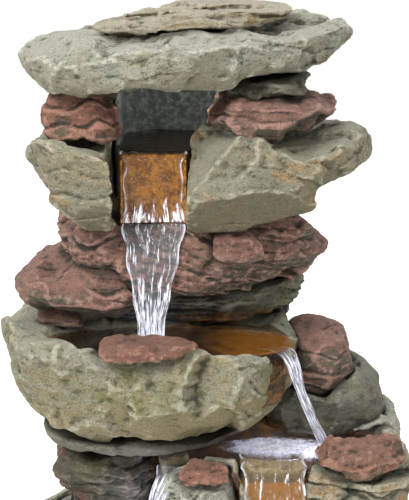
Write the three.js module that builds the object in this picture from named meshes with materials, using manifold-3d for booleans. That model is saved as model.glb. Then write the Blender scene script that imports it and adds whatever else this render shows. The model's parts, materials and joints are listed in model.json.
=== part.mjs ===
// Tabletop rock fountain. Cast resin stones are bonded on one another round a hidden service shaft:
// a base tub, a hollow column, a lower bowl, an upper bowl, and a header tank under a cap slab.
// A pump in the column lifts water to the header tank, and it falls back from bowl to bowl.
// Millimetres, +Z up, the front is -Y, and the origin is midway between the feet on the table.
import * as THREE from "three";
import { mergeVertices } from "three/addons/utils/BufferGeometryUtils.js";
import Module from "manifold-3d";

const wasm = await Module();
wasm.setup();

// Driving dimensions
const HEIGHT = 400;
const HALF_WIDTH = 123;
const HALF_DEPTH = 100;
const FOOT_HEIGHT = 4;
const FLOOR = 13; // top of the tub's floor, where the column and the pump stand
const BED_GAP = 0.35; // left between stones that are bonded together
const STONE_SIDES = 24;

const FITTING = { x: -14, y: 28 }; // where the riser comes up through the tank floor
const LIP = { left: -48, right: -10, y: -36, z: 321 }; // edge that the header tank pours over
const FALL_FOOT = LIP.z - 40; // where the sheet of water leaves the spillway plate
const TANK = { floor: 296, top: 356, wall: 3 };
const COLUMN = { back: 80, front: -2, top: 142, wall: 9 };
const SHAFT = { left: -27, right: 12, front: 18, back: 50 }; // vertical way for the riser and leads
const DOOR = { halfWidth: 30, bottom: 76, top: 124, clearance: 0.6 };
const DOOR_X = -12;

const PUMP = { y: 41, axisZ: 38, left: -20, right: 26 };
const CHAMBER = { left: -34, radius: 15, bore: 12.5 };
const ROTOR_RADIUS = 7;
const SHAFT_RADIUS = 1.5;
const RISER = { outer: 6.5, inner: 5.2 };
const LEAD_RADIUS = 1.5;

const GREY = 0x8d9080;
const GREY_TAN = 0x9c9078;
const RED = 0x8a5a4e;
const DARK = 0x4c4a42;
const MOSS = 0x77764f;
const AMBER = 0x9a5a14;
const CHARCOAL = 0x2b2d2e;
const BLACK = 0x17181a;
const CLEAR = 0xd7e2ea;
const RUBBER = 0x222222;
const STEEL = 0xb9bcc0;

// ---------------------------------------------------------------- solids

function solidFrom(geometry) {
  const bare = geometry.clone();
  bare.deleteAttribute("normal");
  bare.deleteAttribute("uv");
  const merged = mergeVertices(bare, 1e-3);
  return new wasm.Manifold(new wasm.Mesh({
    numProp: 3,
    vertProperties: new Float32Array(merged.attributes.position.array),
    triVerts: new Uint32Array(merged.index.array),
  }));
}

function geometryFrom(solid) {
  const mesh = solid.getMesh();
  const geometry = new THREE.BufferGeometry();
  geometry.setAttribute("position", new THREE.BufferAttribute(new Float32Array(mesh.vertProperties), 3));
  geometry.setIndex(new THREE.BufferAttribute(new Uint32Array(mesh.triVerts), 1));
  geometry.computeVertexNormals();
  return geometry;
}

function block(low, high) {
  const size = high.map((value, axis) => value - low[axis]);
  const geometry = new THREE.BoxGeometry(...size);
  geometry.translate(...high.map((value, axis) => (value + low[axis]) / 2));
  return solidFrom(geometry);
}

// A round bar from one point to another, both on a line along X, Y or Z
function bar(from, to, radius, sides = 20, endRadius = radius) {
  const start = new THREE.Vector3(...from);
  const end = new THREE.Vector3(...to);
  const geometry = new THREE.CylinderGeometry(endRadius, radius, start.distanceTo(end), sides);
  const along = end.clone().sub(start).normalize();
  geometry.applyQuaternion(new THREE.Quaternion().setFromUnitVectors(new THREE.Vector3(0, 1, 0), along));
  geometry.translate(...start.add(end).multiplyScalar(0.5).toArray());
  return solidFrom(geometry);
}

const upright = ({ x, y }, bottom, top, radius) => bar([x, y, bottom], [x, y, top], radius, 12);

function ring(radius, sides) {
  const corners = [];
  for (let i = 0; i < sides; i += 1) {
    const turn = (2 * Math.PI * i) / sides;
    corners.push(new THREE.Vector2(radius * Math.cos(turn), radius * Math.sin(turn)));
  }
  return corners;
}

function curveThrough(points) {
  return new THREE.CatmullRomCurve3(points.map((point) => new THREE.Vector3(...point)));
}

function tube(points, radius, { steps = 16, sides = 8, bore = 0 } = {}) {
  const section = new THREE.Shape(ring(radius, sides));
  if (bore) section.holes.push(new THREE.Path(ring(bore, sides).reverse()));
  const extrudePath = curveThrough(points);
  return solidFrom(new THREE.ExtrudeGeometry(section, { steps, bevelEnabled: false, extrudePath }));
}

// An upright prism over a plan outline
function prism(outline, bottom, top) {
  const shape = new THREE.Shape(outline.map(([x, y]) => new THREE.Vector2(x, y)));
  const geometry = new THREE.ExtrudeGeometry(shape, { depth: top - bottom, bevelEnabled: false });
  geometry.translate(0, 0, bottom);
  return solidFrom(geometry);
}

function largestPiece(solid) {
  return solid.decompose().sort((a, b) => b.volume() - a.volume())[0];
}

// ---------------------------------------------------------------- stones

// Plan outlines in a box from -1 to 1 each way, anticlockwise from +X
const BLOCKY = [[1, 0.1], [0.86, 0.74], [0.3, 1], [-0.45, 0.93], [-0.92, 0.66],
  [-1, -0.1], [-0.84, -0.76], [-0.2, -1], [0.5, -0.95], [0.92, -0.5]];
const POINTED = [[1, -0.05], [0.72, 0.62], [0.2, 1], [-0.5, 0.94], [-0.93, 0.66],
  [-1, -0.2], [-0.8, -0.86], [-0.2, -1], [0.35, -0.93], [0.78, -0.55]];
const OVAL = [[1, 0], [0.76, 0.7], [0.1, 1], [-0.68, 0.78], [-1, 0.05], [-0.75, -0.72], [0, -1],
  [0.7, -0.7]];
const SQUARE = [[1, 0], [0.97, 0.8], [0.8, 0.98], [0, 1], [-0.8, 0.97], [-0.98, 0.8],
  [-1, 0], [-0.97, -0.8], [-0.8, -0.98], [0, -1], [0.8, -0.97], [0.98, -0.8]];

function unitOutline(corners) {
  const curve = new THREE.CatmullRomCurve3(corners.map(([x, y]) => new THREE.Vector3(x, y, 0)), true);
  const points = curve.getSpacedPoints(STONE_SIDES).slice(0, STONE_SIDES);
  for (const axis of ["x", "y"]) {
    const values = points.map((point) => point[axis]);
    const low = Math.min(...values);
    const span = Math.max(...values) - low;
    points.forEach((point) => { point[axis] = (2 * (point[axis] - low)) / span - 1; });
  }
  return points;
}

// A stone is a loft through levels [z, left, right, front, back], tilted a little in X and Y.
// grow makes it larger all round, which is how a neighbour is cut to bed against it.
function loft({ levels, outline = BLOCKY, tilt = [0, 0] }, grow = 0) {
  const top = levels.length - 1;
  const points = unitOutline(outline);
  const middle = (levels[0][0] + levels[top][0]) / 2;
  const stretch = 1 + grow / (levels[top][0] - middle);
  const geometry = new THREE.CylinderGeometry(1, 1, 1, STONE_SIDES, top);
  const position = geometry.attributes.position;
  for (let i = 0; i < position.count; i += 1) {
    const [z, left, right, front, back] = levels[Math.round((position.getY(i) + 0.5) * top)];
    const reach = Math.round(Math.hypot(position.getX(i), position.getZ(i)));
    const turn = Math.atan2(-position.getZ(i), position.getX(i)) / (2 * Math.PI);
    const point = points[(Math.round(turn * STONE_SIDES) + STONE_SIDES) % STONE_SIDES];
    const x = (left + right) / 2 + reach * point.x * ((right - left) / 2 + grow);
    const y = (front + back) / 2 + reach * point.y * ((back - front) / 2 + grow);
    position.setXYZ(i, x, y, middle + (z - middle) * stretch + tilt[0] * x + tilt[1] * y);
  }
  return solidFrom(geometry);
}

const wayThrough = (bottom, top) => block([SHAFT.left, SHAFT.front, bottom],
  [SHAFT.right, SHAFT.back, top]);

// Routes of the leads, from each lamp or the pump to the splice block
const LEADS = {
  upper_lamp_lead: [[-17.2, -52, 184], [-6, -44, 184], [0, -24, 184], [2, 0, 183], [3, 22, 178],
    [5, 32, 162], [6, 36, 146], [7, 40, 132], [12, 48, 124], [15, 52, 122.8]],
  lower_lamp_lead: [[50, -30.5, 125], [49, -20, 125], [46, -4, 125], [40, 14, 124], [32, 34, 123],
    [24, 50, 121.5]],
  base_lamp_lead: [[-5.2, -56, 18], [6, -48, 16.5], [10, -28, 16], [10, -4, 17], [16, 12, 26],
    [31, 17, 52], [33, 36, 80], [29, 52, 102]],
  pump_lead: [[26.4, 46, 40], [36, 47, 42], [44, 50, 58], [42, 54, 84], [36, 57, 103]],
};

const leadHole = (name) => tube(LEADS[name], LEAD_RADIUS + 0.9);

// The tub under everything: a wide stone basin that holds the pump's water
const TUB = {
  name: "base_basin", colour: GREY_TAN, outline: BLOCKY,
  levels: [[FOOT_HEIGHT, -102, 104, -82, 84], [18, -114, 115, -93, 92],
    [44, -HALF_WIDTH, HALF_WIDTH, -HALF_DEPTH, HALF_DEPTH], [62, -119, 120, -97, 98],
      [72, -112, 113, -92, 93]],
};
const TUB_HOLLOW = {
  outline: BLOCKY,
  levels: [[FLOOR, -98, 100, -77, 84], [24, -104, 105, -83, 86], [44, -111, 111, -88, 90],
    [76, -103, 104, -83, 86]],
};

// The hollow column that carries the bowls, with the pump inside and a hatch at the back
const COLUMN_STONE = {
  name: "lower_column", colour: DARK, outline: SQUARE,
  levels: [[FLOOR + 0.3, -68, 76, COLUMN.front, COLUMN.back - 6],
    [60, -68, 76, COLUMN.front + 2, COLUMN.back - 2],
    [106, -76, 82, COLUMN.front, COLUMN.back], [126, -84, 84, COLUMN.front - 2, COLUMN.back],
    [COLUMN.top, -78, 78, COLUMN.front, COLUMN.back - 2]],
};
const columnInside = () => block([-60, COLUMN.front + COLUMN.wall, 0],
  [68, COLUMN.back - COLUMN.wall - 3, 130]);
const hatchway = () => block(
  [DOOR_X - DOOR.halfWidth, 50, DOOR.bottom],
  [DOOR_X + DOOR.halfWidth, COLUMN.back + 6, DOOR.top],
);

// The upper bowl: a thick rounded stone with a pool in its front half and the tower on its back
const UPPER_BOWL = {
  name: "upper_bowl", colour: GREY, outline: BLOCKY, tilt: [-0.02, 0.01],
  levels: [[160, -96, 22, -78, 62], [171, -108, 38, -90, 66], [184, -117, 48, -97, 68],
    [202, -120, 53, -98, 67], [212, -119, 52, -96, 64], [217, -113, 48, -88, 58]],
};
const UPPER_POOL = {
  outline: OVAL,
  levels: [[180, -76, 26, -70, -32], [196, -88, 42, -77, -26], [224, -93, 52, -81, -23]],
};
const spout = () => loft({
  outline: SQUARE,
  levels: [[206, 36, 58, -70, -52], [212, 34, 62, -73, -47], [226, 30, 66, -77, -38]],
});

// The lower bowl: a smaller pool low on the right, with a weir at the front and a spout on the left
const LOWER_BOWL = {
  name: "lower_bowl", colour: GREY_TAN, outline: BLOCKY,
  levels: [[100, -2, 96, -78, -6], [116, -14, 110, -86, -3], [134, -25, 119, -91, -3],
    [146, -27, 120, -88, -3],
    [150, -22, 116, -83, -6]],
};
const LOWER_POOL = {
  outline: OVAL,
  levels: [[118, 6, 92, -62, -24], [132, -12, 106, -70, -14], [154, -18, 112, -76, -9]],
};
const weirNotch = () => block([18, -96, 141], [61, -50, 156]);
const spillGroove = () => block([22, -110, 80], [58, -86, 126]);
const leftSpout = () => loft({
  outline: SQUARE,
  levels: [[140, -34, -4, -84, -66], [146, -38, -2, -88, -62], [158, -42, 0, -92, -58]],
});

// Stones in the order they are bedded: each is cut to fit round the ones before it
const STONES = [
  { ...COLUMN_STONE, cuts: () => [columnInside(), hatchway(), inletHole(), wayThrough(120, 150),
    leadHole("lower_lamp_lead"), leadHole("base_lamp_lead")] },
  { ...UPPER_BOWL, cuts: () => [loft(UPPER_POOL), spout(), wayThrough(150, 230),
    leadHole("upper_lamp_lead")] },
  // stones round the front of the lower bowl
  { name: "weir_stone", colour: GREY_TAN, outline: SQUARE, cuts: () => [loft(LOWER_POOL)],
    levels: [[126, 18.6, 60.4, -86, -58], [138, 18.6, 60.4, -85, -56], [145, 20, 59, -80, -60]] },
  { name: "front_grey_stone", colour: GREY, outline: BLOCKY, cuts: () => [loft(LOWER_POOL), leftSpout()],
    levels: [[76, -18, 22, -92, -60], [100, -26, 22, -98, -56], [128, -27, 21, -98, -58],
      [142, -25, 18, -94, -62], [148, -17, 12, -88, -68]] },
  { name: "front_right_stone", colour: GREY_TAN, outline: BLOCKY, cuts: () => [loft(LOWER_POOL)],
    levels: [[76, 58, 106, -84, -36], [100, 56, 114, -90, -30], [126, 58, 118, -90, -28],
      [140, 62, 117, -86, -34]] },
  { ...LOWER_BOWL, cuts: () => [loft(LOWER_POOL), weirNotch(), spillGroove(), leftSpout(),
    leadHole("lower_lamp_lead")] },
  // smooth ledge that the upper bowl overhangs
  { name: "bowl_ledge_stone", colour: GREY, outline: BLOCKY, cuts: () => [wayThrough(130, 180)],
    levels: [[143, -82, 8, -54, 52], [151, -94, 22, -70, 58], [161, -98, 32, -80, 60],
      [172, -92, 34, -80, 58]] },
  // dark stones at the left of the column, seen under the bowl
  { name: "left_pillar_stone", colour: DARK, outline: BLOCKY,
    levels: [[FLOOR + 0.3, -88, -36, -42, 26], [60, -84, -34, -46, 30], [104, -80, -32, -48, 32],
      [126, -90, -30, -50, 34], [141, -84, -32, -46, 30]] },
  { name: "left_moss_stone", colour: MOSS, outline: OVAL,
    levels: [[72.5, -96, -62, -58, -8], [90, -104, -56, -64, -4], [104, -90, -60, -58, -10]] },
  // small stones laid on the lower bowl's rim
  { name: "rim_red_stone_left", colour: RED, outline: POINTED, tilt: [0.05, 0],
    levels: [[142, -12, 12, -97, -80], [148, -16, 15, -99.5, -77], [154, -12, 11, -96, -80]] },
  { name: "rim_red_stone_right", colour: RED, outline: POINTED, tilt: [0.07, -0.05],
    levels: [[133, 66, 108, -88, -58], [141, 63, 115, -92, -53], [149, 66, 112, -88, -56],
      [153, 72, 104, -82, -62]] },
  // stones stepping down the right flank
  { name: "round_red_stone", colour: RED, outline: OVAL,
    levels: [[168, 54, 82, -26, 22], [178, 46, 88, -34, 28], [194, 44, 91, -36, 30], [204, 48, 86, -30, 26],
      [209, 54, 76, -22, 18]] },
  { name: "flank_stone_upper", colour: GREY, outline: OVAL,
    levels: [[138, 34, 104, -30, 46], [152, 30, 110, -38, 50], [168, 32, 110, -38, 50],
      [180, 38, 100, -32, 44],
      [186, 48, 90, -22, 34]] },
  { name: "flank_stone_lower", colour: GREY, outline: OVAL,
    levels: [[84, 52, 104, -30, 44], [106, 46, 116, -36, 50], [132, 46, 121, -42, 54],
      [148, 48, 120, -40, 52],
      [157, 56, 110, -30, 42]] },
  // flat skimming stone laid on the upper bowl's front rim
  { name: "flat_red_stone", colour: RED, outline: POINTED,
    levels: [[212, -55, -6, -94, -66], [218, -60, -3, -98, -61], [222, -58, -5, -96, -63],
      [223.5, -50, -12, -90, -68]] },
  // the layered back of the tower
  { name: "striated_stone", colour: DARK, outline: BLOCKY, cuts: () => [wayThrough(200, 260)],
    levels: [[208, -84, 52, -20, 66], [217, -82, 51, -24, 66], [222, -80, 56, -27, 68],
      [231, -82, 60, -34, 68],
      [238, -76, 55, -32, 64]] },
  { name: "left_brown_stone", colour: RED, outline: BLOCKY,
    levels: [[212, -104, -62, -40, 40], [220, -101, -60, -42, 42], [230, -99, -58, -40, 42]] },
  { name: "left_red_stone", colour: RED, outline: BLOCKY, tilt: [-0.03, 0],
    cuts: () => [wayThrough(200, 280)],
    levels: [[226, -98, -34, -48, 38], [235, -111, -28, -58, 46], [242, -108, -26, -60, 48],
      [250, -93, -28, -52, 46],
      [255, -80, -34, -46, 40]] },
  { name: "red_band_stone", colour: RED, outline: POINTED, cuts: () => [wayThrough(230, 300), channel()],
    levels: [[236, -74, 50, -38, 62], [246, -82, 62, -52, 66], [260, -87, 72, -58, 68],
      [272, -87, 64, -56, 68],
      [283, -78, 50, -48, 64]] },
  { name: "red_inset_stone", colour: RED, outline: POINTED,
    levels: [[264, 6, 30, -66, -48], [269, 3, 34, -68, -44], [276, 4, 32, -66, -44],
      [279, 10, 26, -62, -46]] },
  // the middle slab, in two stones with the spillway between them
  { name: "slab_stone_left", colour: GREY_TAN, outline: SQUARE, tilt: [-0.01, 0],
    cuts: () => [tankOuter(0.35), channel()],
    levels: [[284, -76, -44, -58, 58], [293, -87, -44, -70, 66], [306, -95, -44, -76, 70],
      [320, -102, -44, -74, 74],
      [329, -99, -46, -66, 68]] },
  { name: "slab_stone_right", colour: GREY_TAN, outline: POINTED, tilt: [-0.02, 0],
    cuts: () => [tankOuter(0.35), channel(), wayThrough(270, 300)],
    levels: [[284, -42.4, 54, -58, 60], [294, -42.4, 74, -76, 68], [306, -42.4, 90, -82, 72],
      [322, -42.4, 103, -78, 76],
      [332, -42, 84, -66, 70]] },
  { name: "upper_red_stone_left", colour: RED, outline: SQUARE, cuts: () => [tankOuter(0.35)],
    levels: [[328, -88, -50, -58, 56], [340, -91, -50, -62, 60], [350, -88, -50, -60, 60],
      [361, -83, -50, -56, 54]] },
  { name: "upper_red_stone_right", colour: RED, outline: POINTED, cuts: () => [tankOuter(0.35)],
    tilt: [0.03, 0],
    levels: [[329, 6, 60, -60, 52], [337, 4, 68, -66, 56], [343, 4, 76, -66, 56], [351, 8, 66, -58, 52]] },
  { name: "upper_dark_stone", colour: DARK, outline: BLOCKY, cuts: () => [tankOuter(0.35)],
    levels: [[346, 12, 58, -52, 54], [355, 12, 60, -56, 56], [364, 12, 58, -54, 54]] },
  { name: "upper_back_stone", colour: GREY, outline: SQUARE, cuts: () => [tankOuter(0.35)],
    levels: [[328, -54, 30, 40, 68], [344, -56, 32, 40, 74], [362, -52, 28, 40, 68]] },
  { name: "cap_slab", colour: GREY, outline: POINTED, tilt: [0.055, 0],
    cuts: () => [block([-46, -24, 340], [22, 40, 377])],
    levels: [[359.5, -82, 60, -66, 60], [366, -100, 74, -76, 70], [379, -107, 83, -80, 76],
      [385.5, -99, 82, -78, 74],
      [389.5, -82, 77, -70, 66]] },
  { name: "cap_top_stone", colour: GREY_TAN, outline: POINTED, tilt: [0.0, 0],
    levels: [[384, -66, 54, -52, 54], [391, -62, 53, -50, 52], [397, -40, 53, -44, 50],
      [HEIGHT, -14, 50, -36, 46]] },
];

function bedStones() {
  const placed = [];
  const cast = [];
  for (const spec of STONES) {
    let solid = loft(spec);
    for (const neighbour of placed) solid = solid.subtract(neighbour);
    for (const cut of spec.cuts ? spec.cuts() : []) solid = solid.subtract(cut);
    cast.push(named(spec.name, largestPiece(solid), spec.colour, 0.85));
    placed.push(loft(spec, BED_GAP));
  }
  return cast;
}

// ---------------------------------------------------------------- tank and spillways

// Plan of the tank that the pump fills, straight along its front lip
const TANK_PLAN = [[-50, -36], [-10, -36], [1, -16], [19, 6], [20, 30], [8, 40], [-14, 45], [-38, 41],
  [-52, 28], [-53, -6]];

function grown(outline, by) {
  const middle = outline.reduce(([a, b], [x, y]) => [a + x / outline.length, b + y / outline.length],
    [0, 0]);
  return outline.map(([x, y]) => {
    const reach = Math.hypot(x - middle[0], y - middle[1]);
    const scale = (reach + by) / reach;
    return [middle[0] + (x - middle[0]) * scale, middle[1] + (y - middle[1]) * scale];
  });
}

const tankOuter = (by) => prism(grown(TANK_PLAN, by), TANK.floor - TANK.wall - by, TANK.top + by);

// The open way in front of the tank, between the slab stones
const channel = () => block([LIP.left - 3, -110, FALL_FOOT - 1], [LIP.right + 2.5, LIP.y + 8, HEIGHT]);

function headerTank() {
  const inside = prism(grown(TANK_PLAN, -TANK.wall * 1.4), TANK.floor, TANK.top + 5);
  const front = block([-70, -60, LIP.z], [40, LIP.y + 22, TANK.top + 5]);
  const corner = block([-8, -60, LIP.z], [40, -4, TANK.top + 5]);
  const inlet = upright(FITTING, TANK.floor - 10, TANK.floor + 5, RISER.outer + 0.3);
  return tankOuter(0).subtract(inside).subtract(front).subtract(corner).subtract(inlet);
}

// The glazed plate that the water runs down, with a small turned edge on each side
function spillwayPlate() {
  const front = LIP.y - BED_GAP - 0.2;
  const plate = block([LIP.left, front - 2.5, FALL_FOOT], [LIP.right, front, LIP.z - 0.5]);
  const edges = [LIP.left, LIP.right - 1.6].map((x) => block([x, front - 6, FALL_FOOT],
    [x + 1.6, front - 2, LIP.z - 3]));
  return edges.reduce((plateSoFar, edge) => plateSoFar.add(edge), plate);
}

function lowerSpillwayPlate() {
  return block([24, -89.5, 88], [56, -86.5, 125.6]);
}

// ---------------------------------------------------------------- pump

const RISER_ROUTE = [[-27, PUMP.y, 62], [-27, PUMP.y, 76], [-26, 40, 96], [-18, 34, 128],
  [FITTING.x, FITTING.y, 158], [FITTING.x, FITTING.y, 200], [FITTING.x, FITTING.y, 284]];

function pumpBody() {
  const motor = block([PUMP.left, 22, 22], [PUMP.right, 60, 56]);
  const chamber = bar([CHAMBER.left, PUMP.y, PUMP.axisZ], [PUMP.left + 1, PUMP.y, PUMP.axisZ],
    CHAMBER.radius);
  const outlet = bar([-27, PUMP.y, PUMP.axisZ + 8], [-27, PUMP.y, 74], 4.7, 12);
  const outletBore = bar([-27, PUMP.y, PUMP.axisZ], [-27, PUMP.y, 80], 2.8, 12);
  const chamberBore = bar([CHAMBER.left - 1, PUMP.y, PUMP.axisZ], [-19, PUMP.y, PUMP.axisZ], CHAMBER.bore);
  const rotorBore = bar([-20, PUMP.y, PUMP.axisZ], [18, PUMP.y, PUMP.axisZ], ROTOR_RADIUS + 1);
  return motor.add(chamber).add(outlet).subtract(outletBore).subtract(chamberBore).subtract(rotorBore);
}

// Four blades on a hub, in one piece with the magnet that drives them
function impeller() {
  const magnet = bar([-20, PUMP.y, PUMP.axisZ], [14, PUMP.y, PUMP.axisZ], ROTOR_RADIUS);
  let wheel = bar([-22, PUMP.y, PUMP.axisZ], [-19.5, PUMP.y, PUMP.axisZ], 10.5).add(magnet);
  for (const [y, z] of [[10, 1.2], [1.2, 10]]) {
    wheel = wheel.add(block([-31, PUMP.y - y, PUMP.axisZ - z], [-21.5, PUMP.y + y, PUMP.axisZ + z]));
  }
  wheel = wheel.add(bar([-31, PUMP.y, PUMP.axisZ], [-21, PUMP.y, PUMP.axisZ], 4));
  return wheel.subtract(bar([-40, PUMP.y, PUMP.axisZ], [20, PUMP.y, PUMP.axisZ], SHAFT_RADIUS + 0.4, 12));
}

function rotorShaft() {
  return bar([-32.5, PUMP.y, PUMP.axisZ], [17.6, PUMP.y, PUMP.axisZ], SHAFT_RADIUS, 12);
}

// Slotted cover that snaps on the end of the chamber
function intakeCover() {
  let cover = bar([-41, PUMP.y, PUMP.axisZ], [CHAMBER.left - 0.4, PUMP.y, PUMP.axisZ], CHAMBER.radius + 1);
  cover = cover.subtract(bar([-38.6, PUMP.y, PUMP.axisZ], [-30, PUMP.y, PUMP.axisZ], CHAMBER.bore));
  for (const z of [-9, -4.5, 4.5, 9]) {
    cover = cover.subtract(block([-44, PUMP.y - 8, PUMP.axisZ + z - 1],
      [-38, PUMP.y + 8, PUMP.axisZ + z + 1]));
  }
  return cover;
}

function flowRegulator() {
  const disc = bar([-45, PUMP.y, PUMP.axisZ], [-41.4, PUMP.y, PUMP.axisZ], 3);
  return disc.add(block([-45, PUMP.y - 1.4, PUMP.axisZ], [-42.4, PUMP.y + 1.4, PUMP.axisZ + 11]));
}

// Suction cup under a corner of the motor
function suctionCup(x, y) {
  const cup = bar([x, y, FLOOR + 0.3], [x, y, FLOOR + 4], 6.5, 12, 3);
  return cup.add(bar([x, y, FLOOR + 3], [x, y, 21.7], 2.2, 12));
}

function riserTube() {
  return tube(RISER_ROUTE, RISER.outer, { steps: 20, sides: 12, bore: RISER.inner });
}

// Flanged barb that brings the riser through the tank floor
function tankFitting() {
  const barb = upright(FITTING, 272, TANK.floor + 6, 4.6);
  const flange = upright(FITTING, TANK.floor + 0.4, TANK.floor + 3, 10);
  return barb.add(flange).subtract(upright(FITTING, 260, TANK.floor + 12, 3));
}

// ---------------------------------------------------------------- lamps, leads and inlet

const LAMPS = {
  upper_lamp: [-32, -52, 180.4],
  lower_lamp: [50, -45, 118.4],
  base_lamp: [-20, -56, FLOOR + 0.3],
};

function lampHousing([x, y, z]) {
  const cup = bar([x, y, z], [x, y, z + 9], 14, 20);
  return cup.subtract(bar([x, y, z + 5], [x, y, z + 12], 11.4, 20));
}

function lampLens([x, y, z]) {
  return bar([x, y, z + 5.3], [x, y, z + 8.6], 11, 20).add(bar([x, y, z + 8.5], [x, y, z + 10.2],
    10, 20, 6));
}

const spliceBlock = () => block([8, 58.6, 104], [40, 67.4, 121]);

const INLET = [50, 110];
const inletHole = () => bar([INLET[0], 50, INLET[1]], [INLET[0], 100, INLET[1]], 7.4, 16);

// Low-voltage socket, clamped in the column's back wall by its collar
function inletSocket() {
  const [x, z] = INLET;
  const barrel = bar([x, 58, z], [x, COLUMN.back + 1, z], 6.8, 16);
  const collar = bar([x, COLUMN.back + 0.6, z], [x, COLUMN.back + 4, z], 10, 20);
  const socket = barrel.add(collar).subtract(bar([x, 66, z], [x, 100, z], 4, 12));
  return socket.add(bar([x, 64, z], [x, COLUMN.back - 2, z], 1.2, 10));
}

// Push-in hatch at the back, with a finger pull
function accessDoor() {
  const { halfWidth, bottom, top, clearance } = DOOR;
  const panel = block(
    [DOOR_X - halfWidth + clearance, 70, bottom + clearance],
    [DOOR_X + halfWidth - clearance, COLUMN.back - 1, top - clearance],
  );
  const pull = block([DOOR_X - 12, COLUMN.back - 2, top - 18], [DOOR_X + 12, COLUMN.back + 7, top - 12]);
  return panel.add(pull);
}

function foot(x, y) {
  return bar([x, y, 0], [x, y, FOOT_HEIGHT - 0.3], 9, 20);
}

// ---------------------------------------------------------------- assembly

function named(name, solid, colour, roughness, metalness = 0) {
  const material = new THREE.MeshStandardMaterial({ color: colour, roughness, metalness });
  const mesh = new THREE.Mesh(geometryFrom(solid), material);
  mesh.name = name;
  return mesh;
}

const fountain = new THREE.Group();
fountain.name = "tabletop_fountain";

fountain.add(named(TUB.name, loft(TUB).subtract(loft(TUB_HOLLOW)), TUB.colour, 0.85));
fountain.add(...bedStones());
fountain.add(named("header_tank", headerTank(), CHARCOAL, 0.6));
fountain.add(named("spillway_plate", spillwayPlate(), AMBER, 0.25));
fountain.add(named("lower_spillway_plate", lowerSpillwayPlate(), AMBER, 0.25));

fountain.add(named("pump_body", pumpBody(), BLACK, 0.45));
fountain.add(named("pump_impeller", impeller(), CHARCOAL, 0.5));
fountain.add(named("pump_shaft", rotorShaft(), STEEL, 0.3, 0.9));
fountain.add(named("pump_intake_cover", intakeCover(), BLACK, 0.45));
fountain.add(named("pump_flow_regulator", flowRegulator(), BLACK, 0.45));
for (const [end, x] of [["left", -12], ["right", 18]]) {
  fountain.add(named(`suction_cup_front_${end}`, suctionCup(x, 28), RUBBER, 0.9));
  fountain.add(named(`suction_cup_back_${end}`, suctionCup(x, 54), RUBBER, 0.9));
}
fountain.add(named("riser_tube", riserTube(), CLEAR, 0.2));
fountain.add(named("tank_fitting", tankFitting(), BLACK, 0.45));

for (const [name, place] of Object.entries(LAMPS)) {
  fountain.add(named(`${name}_housing`, lampHousing(place), BLACK, 0.4));
  fountain.add(named(`${name}_lens`, lampLens(place), CLEAR, 0.1));
}
for (const [name, route] of Object.entries(LEADS)) {
  fountain.add(named(name, tube(route, LEAD_RADIUS), BLACK, 0.6));
}
fountain.add(named("splice_block", spliceBlock(), BLACK, 0.5));
fountain.add(named("inlet_socket", inletSocket(), BLACK, 0.4));
fountain.add(named("access_door", accessDoor(), DARK, 0.85));

for (const [side, x] of [["left", -72], ["right", 72]]) {
  fountain.add(named(`foot_front_${side}`, foot(x, -54), RUBBER, 0.9));
  fountain.add(named(`foot_back_${side}`, foot(x, 56), RUBBER, 0.9));
}

export default fountain;
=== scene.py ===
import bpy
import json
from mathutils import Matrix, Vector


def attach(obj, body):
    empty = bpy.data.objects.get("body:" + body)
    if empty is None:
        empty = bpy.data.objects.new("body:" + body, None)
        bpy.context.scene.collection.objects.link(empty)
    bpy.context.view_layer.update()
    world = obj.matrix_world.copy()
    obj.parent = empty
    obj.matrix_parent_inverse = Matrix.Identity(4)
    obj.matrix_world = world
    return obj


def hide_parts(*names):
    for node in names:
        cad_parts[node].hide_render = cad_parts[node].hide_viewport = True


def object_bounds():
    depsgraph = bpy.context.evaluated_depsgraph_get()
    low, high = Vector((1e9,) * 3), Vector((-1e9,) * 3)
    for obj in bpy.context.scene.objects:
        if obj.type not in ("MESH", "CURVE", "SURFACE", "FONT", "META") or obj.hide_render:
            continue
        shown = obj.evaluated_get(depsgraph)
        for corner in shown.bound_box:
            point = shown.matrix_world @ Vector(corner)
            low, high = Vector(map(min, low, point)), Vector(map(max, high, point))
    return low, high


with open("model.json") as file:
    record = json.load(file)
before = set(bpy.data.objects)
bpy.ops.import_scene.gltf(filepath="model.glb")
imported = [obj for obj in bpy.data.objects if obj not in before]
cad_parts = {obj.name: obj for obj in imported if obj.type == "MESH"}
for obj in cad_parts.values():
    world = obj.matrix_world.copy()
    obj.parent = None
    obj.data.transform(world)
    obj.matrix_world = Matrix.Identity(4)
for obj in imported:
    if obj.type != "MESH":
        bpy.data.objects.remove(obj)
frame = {"nodes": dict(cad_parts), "record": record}
cad_box = [list(corner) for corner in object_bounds()]

import json
import math
import random

import bpy
import numpy as np
from mathutils import Vector
from mathutils.bvhtree import BVHTree

# ---- The table, the studio and the camera --------------------------------------------------
# The fountain stands on a plain pale table in soft light: one large lamp over the left shoulder,
# a weaker one at the right, and a strip behind that edges the stones.
bpy.ops.object.select_all(action="DESELECT")
bpy.ops.mesh.primitive_plane_add(size=14, location=(0, 0, 0))
table_top = bpy.context.object
table_top.name = "table_top"
table_paint = bpy.data.materials.new("table_paint")
table_paint.use_nodes = True
table_tree = table_paint.node_tree
table_top.data.materials.append(table_paint)
surface = table_tree.nodes["Principled BSDF"]
surface.inputs["Base Color"].default_value = (0.93, 0.93, 0.93, 1)
surface.inputs["Roughness"].default_value = 0.8
surface.inputs["Emission Color"].default_value = (1, 1, 1, 1)
lift = table_tree.nodes.new("ShaderNodeMath")  # keeps the far table as white as the backdrop
lift.operation = "MULTIPLY"
lift.inputs[1].default_value = 0.42
table_tree.links.new(table_tree.nodes.new("ShaderNodeLightPath").outputs["Is Camera Ray"], lift.inputs[0])
table_tree.links.new(lift.outputs[0], surface.inputs["Emission Strength"])

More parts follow.
